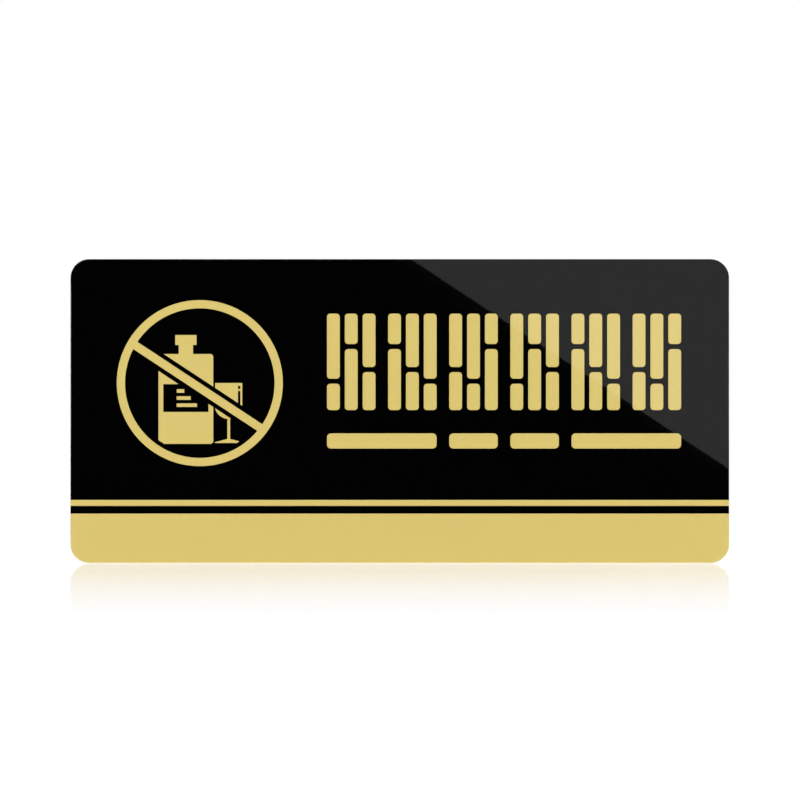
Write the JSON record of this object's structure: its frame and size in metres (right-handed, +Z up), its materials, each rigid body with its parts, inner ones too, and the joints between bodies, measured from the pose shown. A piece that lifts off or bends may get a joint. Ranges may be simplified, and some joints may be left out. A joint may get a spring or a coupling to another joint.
{
  "type": "no outside drinks sign",
  "caption": "Rounded clear panel with a black and gold print on its back: a crossed-out bottle and glass, plain bars for lettering, and foam tape to hold it on a wall.",
  "frame": {"origin": "middle of the wall side, on the outer face of the centre tape, in the plane of the wall", "axes": "+X to the right of someone reading the sign, +Y into the wall, +Z up; the printed face looks along -Y"},
  "size_m": [0.26, 0.0044, 0.12],
  "materials": {
    "clear_acrylic": "clear, polished",
    "black_ink": "even black print",
    "gold_ink": "even pale gold print",
    "foam_tape": "pale closed-cell foam with adhesive faces"
  },
  "bodies": {
    "root": {"face_panel": "clear_acrylic", "black_ground": "black_ink", "gold_band": "gold_ink", "gold_line": "gold_ink", "prohibition_ring": "gold_ink", "bottle_figure": "gold_ink", "glass_figure": "gold_ink", "headline_blocks": "gold_ink", "caption_bars": "gold_ink", "tape_left": "foam_tape", "tape_centre": "foam_tape", "tape_right": "foam_tape"}
  },
  "joints": []
}
